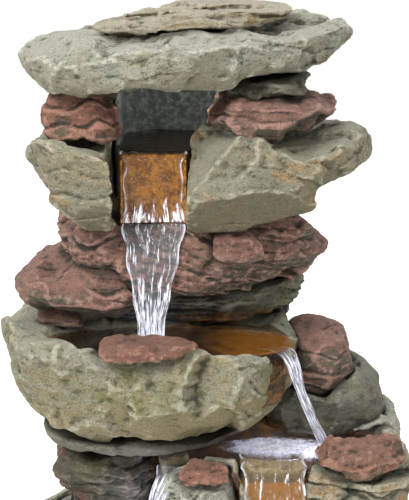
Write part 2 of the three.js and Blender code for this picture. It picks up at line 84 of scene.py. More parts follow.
studio = bpy.data.worlds.new("studio")
studio.use_nodes = True
backdrop = studio.node_tree.nodes["Background"]
backdrop.inputs["Color"].default_value = (1, 1, 1, 1)
seen = studio.node_tree.nodes.new("ShaderNodeLightPath").outputs["Is Camera Ray"]
dimmer = studio.node_tree.nodes.new("ShaderNodeMapRange")
dimmer.inputs["To Min"].default_value = 0.62  # light that reaches the fountain from all round
dimmer.inputs["To Max"].default_value = 1.0   # plain white behind it
studio.node_tree.links.new(seen, dimmer.inputs["Value"])
studio.node_tree.links.new(dimmer.outputs["Result"], backdrop.inputs["Strength"])
bpy.context.scene.world = studio
bpy.context.scene.view_settings.view_transform = "Standard"


def hang_softbox(name, place, aim, width, height, watts):
    box_lamp = bpy.data.lights.new(name, "AREA")
    box_lamp.shape = "RECTANGLE"
    box_lamp.size = width
    box_lamp.size_y = height
    box_lamp.energy = watts
    holder = bpy.data.objects.new(name, box_lamp)
    bpy.context.collection.objects.link(holder)
    holder.location = place
    holder.rotation_euler = (Vector(aim) - Vector(place)).to_track_quat("-Z", "Y").to_euler()


hang_softbox("softbox_left", (-0.75, -0.95, 1.35), (0, 0, 0.25), 0.6, 0.6, 28)
hang_softbox("softbox_right", (1.1, -0.7, 0.75), (0, 0, 0.25), 0.5, 0.9, 5)
hang_softbox("strip_behind", (0.1, 0.95, 1.1), (0, 0, 0.3), 1.2, 0.3, 8)
# a faint lift inside the recess, so that the liner's texture shows
hang_softbox("recess_fill", (-0.018, -0.030, 0.350), (-0.014, 0.04, 0.336), 0.03, 0.010, 0.022)

VIEW_DISTANCE = 0.93
VIEW_TILT = math.radians(14.2)
VIEW_HEIGHT = 0.255
lens = bpy.data.cameras.new("camera")
lens.lens = 111.6
lens.sensor_width = 36
camera = bpy.data.objects.new("camera", lens)
bpy.context.collection.objects.link(camera)
camera.location = (0, -VIEW_DISTANCE * math.cos(VIEW_TILT), VIEW_HEIGHT + VIEW_DISTANCE * math.sin(VIEW_TILT))
camera.rotation_euler = (math.pi / 2 - VIEW_TILT, 0, 0)
bpy.context.scene.camera = camera

# ---- Base tub ------------------------------------------------------------------------------
# A wide basin cast as one thick-walled stone. It stands on four rubber feet and holds the water.
# Like every stone here it is cast resin with filler, from a mould taken off broken rock: large flat
# breaks, worn edges, layers and a sandy grain, painted dark, then wiped and dry-brushed lighter.
ROUGH = 0.003  # cell of the block that is chiselled
FINE = 0.0012  # cell of the finished surface
slot_of = {part["node"]: part["material_slot"] for part in frame["record"]["subparts"]}
stone_nodes = [node for node, slot in slot_of.items() if slot.endswith("_stone")]


def pick_only(piece):
    bpy.ops.object.select_all(action="DESELECT")
    piece.select_set(True)
    bpy.context.view_layer.objects.active = piece


def apply_all(piece):
    pick_only(piece)
    for modifier in list(piece.modifiers):
        bpy.ops.object.modifier_apply(modifier=modifier.name)


def copy_node(node):
    mesh = frame["nodes"][node].data.copy()
    mesh.materials.clear()
    piece = bpy.data.objects.new("cast_" + node, mesh)
    bpy.context.collection.objects.link(piece)
    pick_only(piece)
    bpy.ops.object.mode_set(mode="EDIT")
    bpy.ops.mesh.select_all(action="SELECT")
    bpy.ops.mesh.remove_doubles(threshold=1e-6)
    bpy.ops.object.mode_set(mode="OBJECT")
    return piece


def recast(piece, cell):
    """Gives the piece an even surface, with points a cell apart."""
    cast = piece.modifiers.new("cast", "REMESH")
    cast.mode = "VOXEL"
    cast.voxel_size = cell
    apply_all(piece)


def press(piece, pattern, size, depth, draw, flatten=1.0, dip=0.0, middle=0.5, contrast=1.0):
    """Presses a pattern into the surface: size is its width, flatten squashes it in height, dip slopes it."""
    if not depth:
        return
    stamp = bpy.data.textures.new("stamp", pattern)
    stamp.contrast = contrast
    if pattern == "CLOUDS":
        stamp.noise_scale = 1.0
        stamp.noise_depth = 3
    if pattern == "VORONOI":
        stamp.noise_scale = 1.0
        stamp.distance_metric = "DISTANCE"
        stamp.weight_1 = -1.0
        stamp.weight_2 = 1.0
    guide = bpy.data.objects.new("stamp_guide", None)
    bpy.context.collection.objects.link(guide)
    guide.location = [draw.uniform(-1, 1) for _ in range(3)]
    guide.rotation_euler = (dip * 0.6, dip, draw.uniform(-0.3, 0.3))
    guide.scale = (size, size, size * flatten)
    bpy.context.view_layer.update()
    relief = piece.modifiers.new("relief", "DISPLACE")
    relief.texture = stamp
    relief.texture_coords = "OBJECT"
    relief.texture_coords_object = guide
    relief.strength = depth
    relief.mid_level = middle
    apply_all(piece)
    bpy.data.objects.remove(guide)
    bpy.data.textures.remove(stamp)


def wear(piece, passes):
    """Rubs the edges down."""
    if not passes:
        return
    rub = piece.modifiers.new("rub", "SMOOTH")
    rub.iterations = passes
    rub.factor = 0.5
    apply_all(piece)


def read_points(mesh, what="co"):
    values = np.empty(len(mesh.vertices) * 3)
    if what == "co":
        mesh.vertices.foreach_get("co", values)
    else:
        mesh.vertex_normals.foreach_get("vector", values)
    return values.reshape(-1, 3)


def write_points(mesh, points):
    mesh.vertices.foreach_set("co", points.ravel())
    mesh.update()


def chisel(piece, blows, bite, reach, draw, level=0.35):
    """Strikes flat breaks off the surface, each square to the spot it hits, give or take a lean."""
    mesh = piece.data
    normals = read_points(mesh, "normal")
    whole = read_points(mesh) + normals * bite * 0.5
    points = whole.copy()
    for _ in range(blows):
        spot = draw.randrange(len(points))
        lean = np.array([draw.uniform(-level, level) for _ in range(3)])
        square = normals[spot] + lean
        square /= np.linalg.norm(square)
        near = ((whole - whole[spot]) ** 2).sum(1) < (reach * draw.uniform(0.7, 1.4)) ** 2
        near &= normals @ square > 0.25
        above = (points[near] - whole[spot]) @ square + bite * draw.uniform(0.3, 1.0)
        points[near] -= square * np.clip(above, 0, None)[:, None]
    cut = points - whole
    deep = np.linalg.norm(cut, axis=1, keepdims=True)
    points = whole + cut * np.minimum(1, bite * 1.3 / np.maximum(deep, 1e-9))
    write_points(mesh, points)


def strike(piece, spot, square, reach):
    """One large break through spot, square to the given direction."""
    points = read_points(piece.data)
    square = np.array(square) / np.linalg.norm(square)
    near = ((points - np.array(spot)) ** 2).sum(1) < reach ** 2
    points[near] -= square * np.clip((points[near] - np.array(spot)) @ square, 0, None)[:, None]
    write_points(piece.data, points)


def waves(points, width, draw, count=7):
    """A smooth random value for each point, about -1 to 1, that swings once over the given width."""
    total = np.zeros(len(points))
    for _ in range(count):
        way = np.array([draw.gauss(0, 1) for _ in range(3)])
        way *= draw.uniform(0.6, 1.7) * math.pi / width / np.linalg.norm(way)
        total += np.sin(points @ way + draw.uniform(0, 6.28))
    return total / math.sqrt(count)


def bed(piece, thickness, depth, draw, dip=(0.0, 0.0)):
    """Leaves ledges of uneven layers: each layer stands out or in, and fades along its length."""
    mesh = piece.data
    points = read_points(mesh)
    normals = read_points(mesh, "normal")
    height = points[:, 2] + dip[0] * points[:, 0] + dip[1] * points[:, 1]
    long_swing = thickness * 0.55 * waves(points, 0.07, draw)
    height = height + long_swing + thickness * 0.16 * waves(points, 0.015, draw)
    layer = height / thickness
    index = np.floor(layer).astype(int)
    part = layer - index
    steps = np.array([draw.uniform(-1, 1) for _ in range(997)])
    step = steps[index % 997]
    following = steps[(index + 1) % 997]
    blend = np.clip((part - 0.72) / 0.28, 0, 1)
    outward = step * (1 - blend) + following * blend
    outward = outward - 0.9 * np.exp(-((part - 0.86) / 0.07) ** 2)
    outward = outward * np.clip(0.65 + 0.5 * waves(points, 0.04, draw), 0.1, 1.2)
    side = normals.copy()
    side[:, 2] *= 0.25
    points += side * (outward * depth)[:, None]
    write_points(mesh, points)


def keep_in_box(piece):
    """Rubs back whatever stands out past the castings' overall size."""
    write_points(piece.data, np.clip(read_points(piece.data), np.array(cad_box[0]), np.array(cad_box[1])))


def neighbours_of(node):
    """A search tree over all the other stones."""
    corners, faces = [], []
    for other in stone_nodes:
        if other == node:
            continue
        mesh = frame["nodes"][other].data
        start = len(corners)
        corners += [vertex.co.copy() for vertex in mesh.vertices]
        faces += [[start + i for i in polygon.vertices] for polygon in mesh.polygons]
    return BVHTree.FromPolygons(corners, faces)


def set_attribute(mesh, name, values):
    layer = mesh.attributes.new(name, "FLOAT", "POINT")
    layer.data.foreach_set("value", np.asarray(values, dtype=np.float32))


# Where rock is wet: centre, half widths, water level, how far up it climbs, and how deep it goes
UPPER_LEVEL = 0.2135
LOWER_LEVEL = 0.145
POOLS = [
    ((-0.0215, -0.0515), (0.070, 0.0285), UPPER_LEVEL, 0.004, 0.036),
    ((0.016, -0.030), (0.034, 0.022), UPPER_LEVEL, 0.014, 0.020),
    ((0.047, -0.042), (0.064, 0.033), LOWER_LEVEL, 0.008, 0.034),
    ((0.010, -0.026), (0.040, 0.028), LOWER_LEVEL, 0.018, 0.034),
    ((0.044, -0.060), (0.012, 0.013), 0.212, 0.004, 0.008),
]


def mark_for_painting(piece, node, cell):
    """Stores what the painter's brush reaches: ridges, hollows, joints with other stones, and wet rock."""
    mesh = piece.data
    count = len(mesh.vertices)
    spots = read_points(mesh)
    normals = read_points(mesh, "normal")
    edges = np.empty(len(mesh.edges) * 2, dtype=np.int64)
    mesh.edges.foreach_get("vertices", edges)
    a, b = edges.reshape(-1, 2).T
    ends = np.concatenate([a, b])
    others = np.concatenate([b, a])
    degree = np.maximum(np.bincount(ends, minlength=count), 1)[:, None]
    smooth = spots.copy()
    painted_at = {3: "ridge", 14: "swell"}  # how many rubs away the small and the large relief lie
    for step in range(1, max(painted_at) + 1):
        sums = [np.bincount(ends, weights=smooth[others, axis], minlength=count) for axis in range(3)]
        smooth = np.stack(sums, 1) / degree
        if step in painted_at:
            set_attribute(mesh, painted_at[step], ((spots - smooth) * normals).sum(1) / cell)
    tree = neighbours_of(node)
    reach = 0.012
    gap = np.full(count, reach)
    for i in range(count):
        found = tree.find_nearest(spots[i], reach)
        if found[0] is not None:
            gap[i] = found[3]
    set_attribute(mesh, "joint", 1 - gap / reach)
    wet = np.zeros(count)
    for centre, radii, level, splash, deep in POOLS:
        inside = ((spots[:, 0] - centre[0]) / radii[0]) ** 2 + ((spots[:, 1] - centre[1]) / radii[1]) ** 2
        edge = np.clip((1.12 - inside) / 0.2, 0, 1)
        height = np.clip((level + splash - spots[:, 2]) / (splash + 0.002), 0, 1)
        height *= np.clip((spots[:, 2] - level + deep) / 0.004, 0, 1)
        wet = np.maximum(wet, edge * np.clip(height * 1.6, 0, 1))
    set_attribute(mesh, "wet", wet)


def cast_stone(node, seed, paint, blows=40, bite=0.004, reach=0.02, bulk=0.004, layer=0.011, ledge=0.0016,
               lumps=0.0006, grain=0.0004, dip=(0.1, 0.0), worn=1, breaks=(), cell=FINE):
    """Chisels a block with the node's shape, rubs and beds it, and leaves it ready for its paint."""
    draw = random.Random(seed)
    piece = copy_node(node)
    recast(piece, ROUGH)
    press(piece, "CLOUDS", 0.036, bulk * 0.65, draw, flatten=0.6, middle=0.45)
    if blows:
        chisel(piece, blows, bite, reach, draw)
        chisel(piece, blows * 2, bite * 0.4, reach * 0.45, draw, level=0.5)
    for spot, square, width in breaks:
        strike(piece, spot, square, width)
    recast(piece, cell)
    wear(piece, worn)
    if ledge:
        bed(piece, layer, ledge, draw, dip)
        bed(piece, layer * 0.37, ledge * 0.4, draw, dip)
    press(piece, "VORONOI", 0.012, lumps, draw, flatten=0.6, dip=dip[0], middle=0.25)
    press(piece, "CLOUDS", 0.007, lumps * 1.3, draw, flatten=0.6, dip=dip[0], contrast=1.3)
    press(piece, "CLOUDS", 0.0034, grain, draw, contrast=1.3)
    keep_in_box(piece)
    mark_for_painting(piece, node, cell)
    pick_only(piece)
    bpy.ops.object.shade_smooth()
    piece.data.materials.append(paint)
    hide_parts(node)
    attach(piece, "hatch" if node == "access_door" else "root")
    return piece


class Paint:
    """Shorthand for laying one coat over another in a node tree."""

    def __init__(self, name):
        self.material = bpy.data.materials.new(name)
        self.material.use_nodes = True
        self.tree = self.material.node_tree
        self.shader = self.tree.nodes["Principled BSDF"]
        self.place = self.tree.nodes.new("ShaderNodeTexCoord").outputs["Object"]

    def put(self, value, socket):
        if hasattr(value, "is_output"):
            self.tree.links.new(value, socket)
        elif isinstance(value, tuple) and len(value) == 3 and socket.type == "RGBA":
            socket.default_value = (*value, 1)
        else:
            socket.default_value = value

    def noise(self, width, detail=3.0, roughness=0.6, stretch=(1, 1, 1), shift=0.0):
        mapping = self.tree.nodes.new("ShaderNodeMapping")
        mapping.inputs["Scale"].default_value = [s / width for s in stretch]
        mapping.inputs["Location"].default_value = (shift, shift * 0.7, shift * 1.3)
        self.tree.links.new(self.place, mapping.inputs["Vector"])
        node = self.tree.nodes.new("ShaderNodeTexNoise")
        node.inputs["Scale"].default_value = 1.0
        node.inputs["Detail"].default_value = detail
        node.inputs["Roughness"].default_value = roughness
        self.tree.links.new(mapping.outputs["Vector"], node.inputs["Vector"])
        return node.outputs["Fac"]

    def pits(self, width):
        mapping = self.tree.nodes.new("ShaderNodeMapping")
        mapping.inputs["Scale"].default_value = [1 / width] * 3
        self.tree.links.new(self.place, mapping.inputs["Vector"])
        node = self.tree.nodes.new("ShaderNodeTexVoronoi")
        node.inputs["Scale"].default_value = 1.0
        self.tree.links.new(mapping.outputs["Vector"], node.inputs["Vector"])
        return node.outputs["Distance"]

    def stored(self, name):
        node = self.tree.nodes.new("ShaderNodeAttribute")
        node.attribute_name = name
        return node.outputs["Fac"]

    def between(self, value, low, high, to_low=0.0, to_high=1.0):
        node = self.tree.nodes.new("ShaderNodeMapRange")
        node.interpolation_type = "SMOOTHSTEP"
        self.put(value, node.inputs["Value"])
        for socket, number in zip(("From Min", "From Max", "To Min", "To Max"), (low, high, to_low, to_high)):
            node.inputs[socket].default_value = number
        return node.outputs["Result"]

    def sum_of(self, kind, a, b):
        node = self.tree.nodes.new("ShaderNodeMath")
        node.operation = kind
        self.put(a, node.inputs[0])
        self.put(b, node.inputs[1])
        return node.outputs[0]

    def coat(self, under, over, amount):
        node = self.tree.nodes.new("ShaderNodeMix")
        node.data_type = "RGBA"
        self.put(amount, node.inputs["Factor"])
        self.put(under, node.inputs[6])  # the colour sockets come after those for numbers and vectors
        self.put(over, node.inputs[7])
        return node.outputs[2]

    def bump(self, height, strength, distance=0.001, under=None):
        node = self.tree.nodes.new("ShaderNodeBump")
        node.inputs["Strength"].default_value = strength
        node.inputs["Distance"].default_value = distance
        self.put(height, node.inputs["Height"])
        if under is not None:
            self.tree.links.new(under, node.inputs["Normal"])
        return node.outputs["Normal"]

    def finish(self, colour, roughness, normal=None):
        self.put(colour, self.shader.inputs["Base Color"])
        self.put(roughness, self.shader.inputs["Roughness"])
        if normal is not None:
            self.tree.links.new(normal, self.shader.inputs["Normal"])
        return self.material


def stone_paint(name, ground, second, wash, brush, stain=None, stain_spread=0.55, moss=0.0,
                top=None, under=None, sparkle=0.5, veins=0.45, glazed_below=None):
    """Ground coat in two tones, a dark wash in the hollows, a light dry brush on the ridges, then sand;
    upward faces get a painted top light and downward faces a painted underside shade.
    """
    mix = Paint(name)
    shift = (sum(ord(letter) for letter in name) % 37) * 0.61  # sets each paint's patches apart
    colour = mix.coat(ground, second, mix.between(mix.noise(0.05, 4, shift=shift), 0.38, 0.62))
    if stain is not None:
        patches = mix.noise(0.032, 5, 0.65, stretch=(1, 1, 1.8), shift=shift + 4)
        colour = mix.coat(colour, stain, mix.between(patches, stain_spread, stain_spread + 0.1, 0, 0.9))
    if moss:
        growth = mix.noise(0.028, 5, 0.75, shift=shift + 9)
        low = mix.between(mix.noise(0.07, 2, shift=2.0), 0.40, 0.58)
        growth = mix.sum_of("MULTIPLY", mix.between(growth, 0.46, 0.60), low)
        colour = mix.coat(colour, (0.155, 0.16, 0.025), mix.sum_of("MULTIPLY", growth, moss))
    blotch = mix.noise(0.010, 6, 0.78, (1, 1, 1.6), shift + 2)
    colour = mix.coat(colour, tuple(c * 0.9 for c in wash), mix.between(blotch, 0.50, 0.36, 0, 0.68))
    colour = mix.coat(colour, brush, mix.between(blotch, 0.56, 0.70, 0, 0.35))
    facing = mix.tree.nodes.new("ShaderNodeSeparateXYZ")
    mix.tree.links.new(mix.tree.nodes.new("ShaderNodeNewGeometry").outputs["Normal"], facing.inputs[0])
    tip = mix.sum_of("ADD", facing.outputs[2], mix.sum_of("MULTIPLY", mix.noise(0.014, 3, shift=1.0), 0.6))
    # painted light and shade: faces turned up are coated toward top, a painted top light, and faces turned
    # down toward under, a painted underside shade (greenish on the red stones)
    if top is not None:
        colour = mix.coat(colour, top, mix.between(tip, 0.75, 1.15, 0, 0.85))
    if under is not None:
        colour = mix.coat(colour, under, mix.between(tip, 0.28, -0.25, 0, 0.85))
    ridge = mix.stored("ridge")
    swell = mix.stored("swell")
    colour = mix.coat(colour, wash, mix.between(mix.sum_of("MULTIPLY", swell, -1.0), 0.10, 1.1, 0, 0.8))
    colour = mix.coat(colour, wash, mix.between(mix.sum_of("MULTIPLY", ridge, -1.0), 0.04, 0.30, 0, 0.75))
    colour = mix.coat(colour, brush, mix.between(ridge, 0.07, 0.32, 0, 0.5))
    colour = mix.coat(colour, brush, mix.between(swell, 0.4, 2.0, 0, 0.3))
    joint = mix.between(mix.stored("joint"), 0.62, 1.0, 0, 0.85)
    colour = mix.coat(colour, tuple(c * 0.55 for c in wash), joint)
    vein = mix.sum_of("ABSOLUTE", mix.sum_of("SUBTRACT", mix.noise(0.034, 5, 0.62, (1, 1, 1.5), 7), 0.5), 0)
    here_and_there = mix.between(mix.noise(0.03, 2, shift=5), 0.45, 0.6)
    crack = mix.sum_of("MULTIPLY", mix.between(vein, 0.011, 0.003), here_and_there)
    colour = mix.coat(colour, tuple(c * 0.4 for c in wash), mix.sum_of("MULTIPLY", crack, veins))
    sand = mix.noise(0.0011, 2, 0.8)
    colour = mix.coat(colour, (0.015, 0.014, 0.01), mix.between(sand, 0.47, 0.30, 0, 0.75))
    colour = mix.coat(colour, (0.80, 0.79, 0.70), mix.between(sand, 0.60, 0.80, 0, sparkle * 0.7))
    wet = mix.between(mix.sum_of("ADD", mix.stored("wet"), mix.sum_of("MULTIPLY", mix.noise(0.012, 3), 0.3)),
                      0.35, 0.75)
    pooled = mix.between(mix.noise(0.011, 4, 0.7, (1, 1, 2)), 0.46, 0.64)
    glaze = mix.coat((0.055, 0.022, 0.005), (0.27, 0.105, 0.010), pooled)
    soaked = mix.coat(colour, glaze, 0.85)
    if glazed_below is not None:  # enamel on the lower part of its face, in object height
        high = mix.tree.nodes.new("ShaderNodeSeparateXYZ")
        mix.tree.links.new(mix.place, high.inputs[0])
        ragged = mix.sum_of("ADD", high.outputs[2], mix.sum_of("MULTIPLY", mix.noise(0.006, 3), 0.003))
        enamel = mix.between(ragged, glazed_below + 0.003, glazed_below + 0.001)
        soaked = mix.coat(soaked, (0.36, 0.13, 0.008), enamel)
        wet = mix.sum_of("MAXIMUM", wet, enamel)
    colour = mix.coat(colour, soaked, wet)
    roughness = mix.between(sand, 0.3, 0.7, 0.72, 0.9)
    roughness = mix.sum_of("SUBTRACT", roughness, mix.sum_of("MULTIPLY", wet, 0.62))
    normal = mix.bump(mix.noise(0.0016, 3, 0.75), 0.7, 0.0010)
    normal = mix.bump(blotch, 0.8, 0.0040, normal)
    normal = mix.bump(mix.sum_of("MULTIPLY", crack, -1.0), 0.6, 0.0012, normal)
    return mix.finish(colour, roughness, normal)



TAN = stone_paint("tan_sandstone", (0.218, 0.212, 0.147), (0.266, 0.23, 0.142), (0.047, 0.044, 0.024),
                  (0.566, 0.519, 0.389), stain=(0.354, 0.224, 0.1), stain_spread=0.52, moss=0.12,
                  top=(0.295, 0.289, 0.212), under=(0.153, 0.136, 0.077), veins=0.15)
COARSE = FINE * 1.35  # the two largest castings have more room between their points
tub = cast_stone("base_basin", 11, TAN, blows=150, bite=0.003, reach=0.03, bulk=0.003, layer=0.02,
                 ledge=0.0011, cell=COARSE)
# its front wall bows out under the streams, so that they land inside it
wall = read_points(tub.data)
bow = np.clip((0.076 - np.abs(wall[:, 0] - 0.008)) / 0.018, 0, 1)
bow *= np.clip((wall[:, 2] - 0.020) / 0.015, 0, 1)
bow *= np.clip((-0.066 - wall[:, 1]) / 0.010, 0, 1)
inner = (read_points(tub.data, "normal")[:, 1] > -0.2)
room = np.clip((wall[:, 1] + 0.0996) * 0.8, 0, 0.0070)
wall[:, 1] -= bow * np.where(inner, 0.0095, room)
write_points(tub.data, wall)

# ---- Column and hatch ----------------------------------------------------------------------
# A hollow casting bonded to the tub's floor. The hatch behind is a separate cast panel, pushed in.
DARK = stone_paint("dark_shale", (0.081, 0.078, 0.052), (0.115, 0.106, 0.069), (0.014, 0.014, 0.008),
                   (0.253, 0.241, 0.178), stain=(0.098, 0.057, 0.029), stain_spread=0.58, moss=0.3,
                   sparkle=0.2, veins=0.1)
PILLAR = stone_paint("russet_shale", (0.079, 0.071, 0.048), (0.1, 0.086, 0.058), (0.015, 0.014, 0.008),
                     (0.252, 0.21, 0.158), stain=(0.147, 0.063, 0.044), stain_spread=0.50, moss=0.3,
                     sparkle=0.2, veins=0.1)
GREY = stone_paint("grey_sandstone", (0.305, 0.303, 0.238), (0.345, 0.33, 0.25), (0.06, 0.058, 0.034),
                   (0.65, 0.637, 0.52), stain=(0.312, 0.247, 0.137), stain_spread=0.60, moss=0.15,
                   top=(0.355, 0.352, 0.285), under=(0.262, 0.242, 0.16))
cast_stone("lower_column", 21, DARK, blows=60, bite=0.0015, bulk=0.0015, ledge=0.0014, worn=1, cell=COARSE)
cast_stone("access_door", 22, DARK, blows=0, bulk=0.0, ledge=0.0005, lumps=0.0005, grain=0.0004, worn=0)
cast_stone("left_pillar_stone", 23, PILLAR, bulk=0.005, layer=0.018, ledge=0.0022)
cast_stone("left_moss_stone", 24, GREY)

# ---- Lower bowl and the stones round it ----------------------------------------------------
# The bowl, its weir and the boulders in front are bonded to the column's front.
WEIR = stone_paint("weir_sandstone", (0.391, 0.287, 0.149), (0.437, 0.333, 0.184), (0.115, 0.069, 0.023),
                   (0.69, 0.598, 0.414), stain=(0.345, 0.23, 0.092), stain_spread=0.5, glazed_below=0.1400)
CORAL = stone_paint("coral_sandstone", (0.192, 0.079, 0.051), (0.243, 0.109, 0.07), (0.038, 0.031, 0.017),
                    (0.486, 0.256, 0.179), stain=(0.102, 0.09, 0.054), stain_spread=0.55, sparkle=0.3,
                    top=(0.224, 0.113, 0.079), under=(0.096, 0.087, 0.049))
lower_bowl = cast_stone("lower_bowl", 31, TAN, blows=60, bite=0.002, bulk=0.002)
# the groove that the glazed plate stands in
groove = read_points(lower_bowl.data)
open_face = (groove[:, 0] > 0.0225) & (groove[:, 0] < 0.0580)
open_face &= (groove[:, 2] > 0.081) & (groove[:, 2] < 0.1440)
groove[open_face, 1] = np.maximum(groove[open_face, 1], -0.0832)
write_points(lower_bowl.data, groove)
weir = cast_stone("weir_stone", 32, WEIR, blows=0, bulk=0.001, ledge=0.0006, lumps=0.0006, worn=1)
# its top runs back into the pool as a shallow bar
bar = read_points(weir.data)
crest = np.clip((bar[:, 2] - 0.134) / 0.004, 0, 1)
bar[:, 1] += 0.014 * crest * np.clip((bar[:, 1] + 0.084) / 0.012, 0, 1)
bar[:, 2] += 0.0016 * crest
write_points(weir.data, bar)
cast_stone("front_grey_stone", 33, GREY, bulk=0.004)
cast_stone("front_right_stone", 34, TAN, bulk=0.005)
cast_stone("rim_red_stone_left", 35, CORAL, blows=14, bite=0.002, reach=0.012, bulk=0.002, ledge=0.0010,
           lumps=0.0011, grain=0.0007)
cast_stone("rim_red_stone_right", 36, CORAL, blows=20, bite=0.003, reach=0.015, bulk=0.003, ledge=0.0014,
           lumps=0.0012, grain=0.0007)

# ---- Right flank ---------------------------------------------------------------------------
# Three boulders step down beside the upper bowl.
RED = stone_paint("red_sandstone", (0.198, 0.094, 0.066), (0.238, 0.128, 0.092), (0.032, 0.029, 0.017),
                  (0.52, 0.30, 0.235), stain=(0.091, 0.085, 0.056), stain_spread=0.515, sparkle=0.25,
                  top=(0.262, 0.14, 0.106), under=(0.085, 0.076, 0.046))
# a darker copy of the grey sandstone, with more moss: painted shade for the ledge under the upper bowl and
# the upper flank stone
SHADE = stone_paint("shaded_sandstone", (0.135, 0.135, 0.1), (0.165, 0.16, 0.115), (0.03, 0.03, 0.018),
                    (0.36, 0.35, 0.28), stain=(0.13, 0.1, 0.06), stain_spread=0.60, moss=0.35,
                    top=(0.19, 0.19, 0.14), veins=0.2)
cast_stone("round_red_stone", 41, RED, blows=24, bite=0.003, bulk=0.004)
cast_stone("flank_stone_upper", 42, SHADE, blows=26, bite=0.003, bulk=0.005, ledge=0.0007)
cast_stone("flank_stone_lower", 43, GREY, blows=26, bite=0.003, bulk=0.005, ledge=0.0007)

# ---- Upper bowl ----------------------------------------------------------------------------
# The largest stone: a rounded bowl with broken front faces, on a smoother ledge.
BOWL = stone_paint("mossy_sandstone", (0.252, 0.24, 0.17), (0.292, 0.256, 0.157), (0.055, 0.051, 0.024),
                   (0.561, 0.537, 0.427), stain=(0.317, 0.244, 0.128), stain_spread=0.55, moss=0.75,
                   top=(0.305, 0.299, 0.226), under=(0.262, 0.22, 0.104))
cast_stone("upper_bowl", 51, BOWL, blows=80, bite=0.0055, reach=0.034, bulk=0.004, layer=0.019, ledge=0.0009,
           dip=(0.22, 0.0), lumps=0.0004,
           breaks=[((-0.070, -0.090, 0.192), (-0.45, -0.86, -0.22), 0.05),
                   ((-0.020, -0.094, 0.182), (0.10, -0.78, -0.62), 0.05),
                   ((0.022, -0.092, 0.196), (-0.30, -0.92, 0.20), 0.032),
                   ((0.044, -0.084, 0.190), (0.62, -0.76, -0.15), 0.035)])
cast_stone("bowl_ledge_stone", 52, SHADE, blows=30, bite=0.002, reach=0.03, bulk=0.002, ledge=0.0006)
cast_stone("flat_red_stone", 53, CORAL, blows=16, bite=0.0018, reach=0.013, bulk=0.0015, ledge=0.0008,
           lumps=0.0011, grain=0.0007)

# ---- Tower ---------------------------------------------------------------------------------
# Layered shale and lumpy red stones, bonded round the riser.
cast_stone("striated_stone", 61, DARK, blows=30, bite=0.003, bulk=0.003, layer=0.0055, ledge=0.0035,
           dip=(0.05, 0))
cast_stone("left_brown_stone", 62, RED, blows=20, bite=0.003)
cast_stone("left_red_stone", 63, RED, bite=0.004, reach=0.018, bulk=0.006, layer=0.014, ledge=0.002)
red_band = cast_stone("red_band_stone", 64, RED, blows=70, bite=0.005, reach=0.02, bulk=0.007, layer=0.016,
                      ledge=0.0035, lumps=0.0016)
# worn back where the sheet of water falls past it
fall_way = read_points(red_band.data)
beside = np.clip((0.0255 - np.abs(fall_way[:, 0] + 0.0295)) / 0.005, 0, 1)
clear_to = np.interp(fall_way[:, 2], [0.255, 0.268, 0.280], [-0.0505, -0.0475, -0.0405])
fall_way[:, 1] += np.clip(clear_to - fall_way[:, 1], 0, None) * beside * 0.93
write_points(red_band.data, fall_way)
cast_stone("red_inset_stone", 65, RED, blows=14, bite=0.002, reach=0.012, bulk=0.002, ledge=0.0008)

# ---- Slab stones and cap -------------------------------------------------------------------
# Two sandstone slabs hold the spillway between them; red stones carry the cap's two slabs.
BROWN = stone_paint("brown_sandstone", (0.248, 0.198, 0.11), (0.286, 0.22, 0.121), (0.066, 0.05, 0.022),
                    (0.506, 0.462, 0.352), stain=(0.22, 0.143, 0.066), stain_spread=0.5,
                    top=(0.365, 0.335, 0.25))
cast_stone("slab_stone_left", 71, TAN, blows=34, bite=0.006, reach=0.032, bulk=0.004, layer=0.014,
           ledge=0.0008,
           breaks=[((-0.072, -0.072, 0.308), (-0.12, -0.97, -0.15), 0.04),
                   ((-0.092, -0.060, 0.312), (-0.75, -0.62, -0.10), 0.03)])
cast_stone("slab_stone_right", 72, TAN, blows=44, bite=0.007, reach=0.036, bulk=0.004, layer=0.014,
           ledge=0.0008,
           breaks=[((0.004, -0.068, 0.322), (-0.62, -0.30, 0.72), 0.030),
                   ((0.030, -0.076, 0.300), (0.15, -0.75, -0.64), 0.05),
                   ((0.050, -0.072, 0.318), (0.25, -0.86, 0.44), 0.04)])
cast_stone("upper_red_stone_left", 73, CORAL, bite=0.004, bulk=0.005, layer=0.012, ledge=0.002)
cast_stone("upper_red_stone_right", 74, RED, bite=0.004, bulk=0.005, layer=0.012, ledge=0.0022)
cast_stone("upper_dark_stone", 75, DARK)
cast_stone("upper_back_stone", 76, GREY)
cast_stone("cap_slab", 77, GREY, blows=60, bite=0.005, reach=0.036, bulk=0.004, layer=0.009, ledge=0.0008,
           dip=(-0.04, 0.0), breaks=[((0.079, -0.03, 0.385), (0.80, -0.60, 0.02), 0.05),
                                     ((0.055, -0.066, 0.372), (0.45, -0.70, -0.55), 0.04)])
cast_stone("cap_top_stone", 78, BROWN, blows=40, bite=0.003, reach=0.024, bulk=0.002, layer=0.005,
           ledge=0.0016, dip=(0.0, 0.0))

# ---- Header tank ---------------------------------------------------------------------------
# A charcoal liner with a crumpled, hand-laid texture. It hides behind the slabs and is full to its lip.
tank_piece = copy_node("header_tank")
recast(tank_piece, FINE * 1.2)
draw = random.Random(81)
press(tank_piece, "VORONOI", 0.006, 0.0030, draw, flatten=0.7, middle=0.2)
press(tank_piece, "CLOUDS", 0.0045, 0.0022, draw, flatten=1.6)
keep_in_box(tank_piece)
bpy.ops.object.shade_smooth()
mix = Paint("charcoal_liner")
shine = mix.noise(0.004, 3, 0.7)
shade = mix.coat((0.095, 0.104, 0.096), (0.27, 0.29, 0.265), mix.between(shine, 0.40, 0.70))
normal = mix.bump(mix.noise(0.0032, 5, 0.75, stretch=(1, 1, 0.6)), 1.0, 0.0035)
tank_piece.data.materials.append(mix.finish(shade, mix.between(shine, 0.3, 0.7, 0.28, 0.5), normal))
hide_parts("header_tank")
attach(tank_piece, "root")

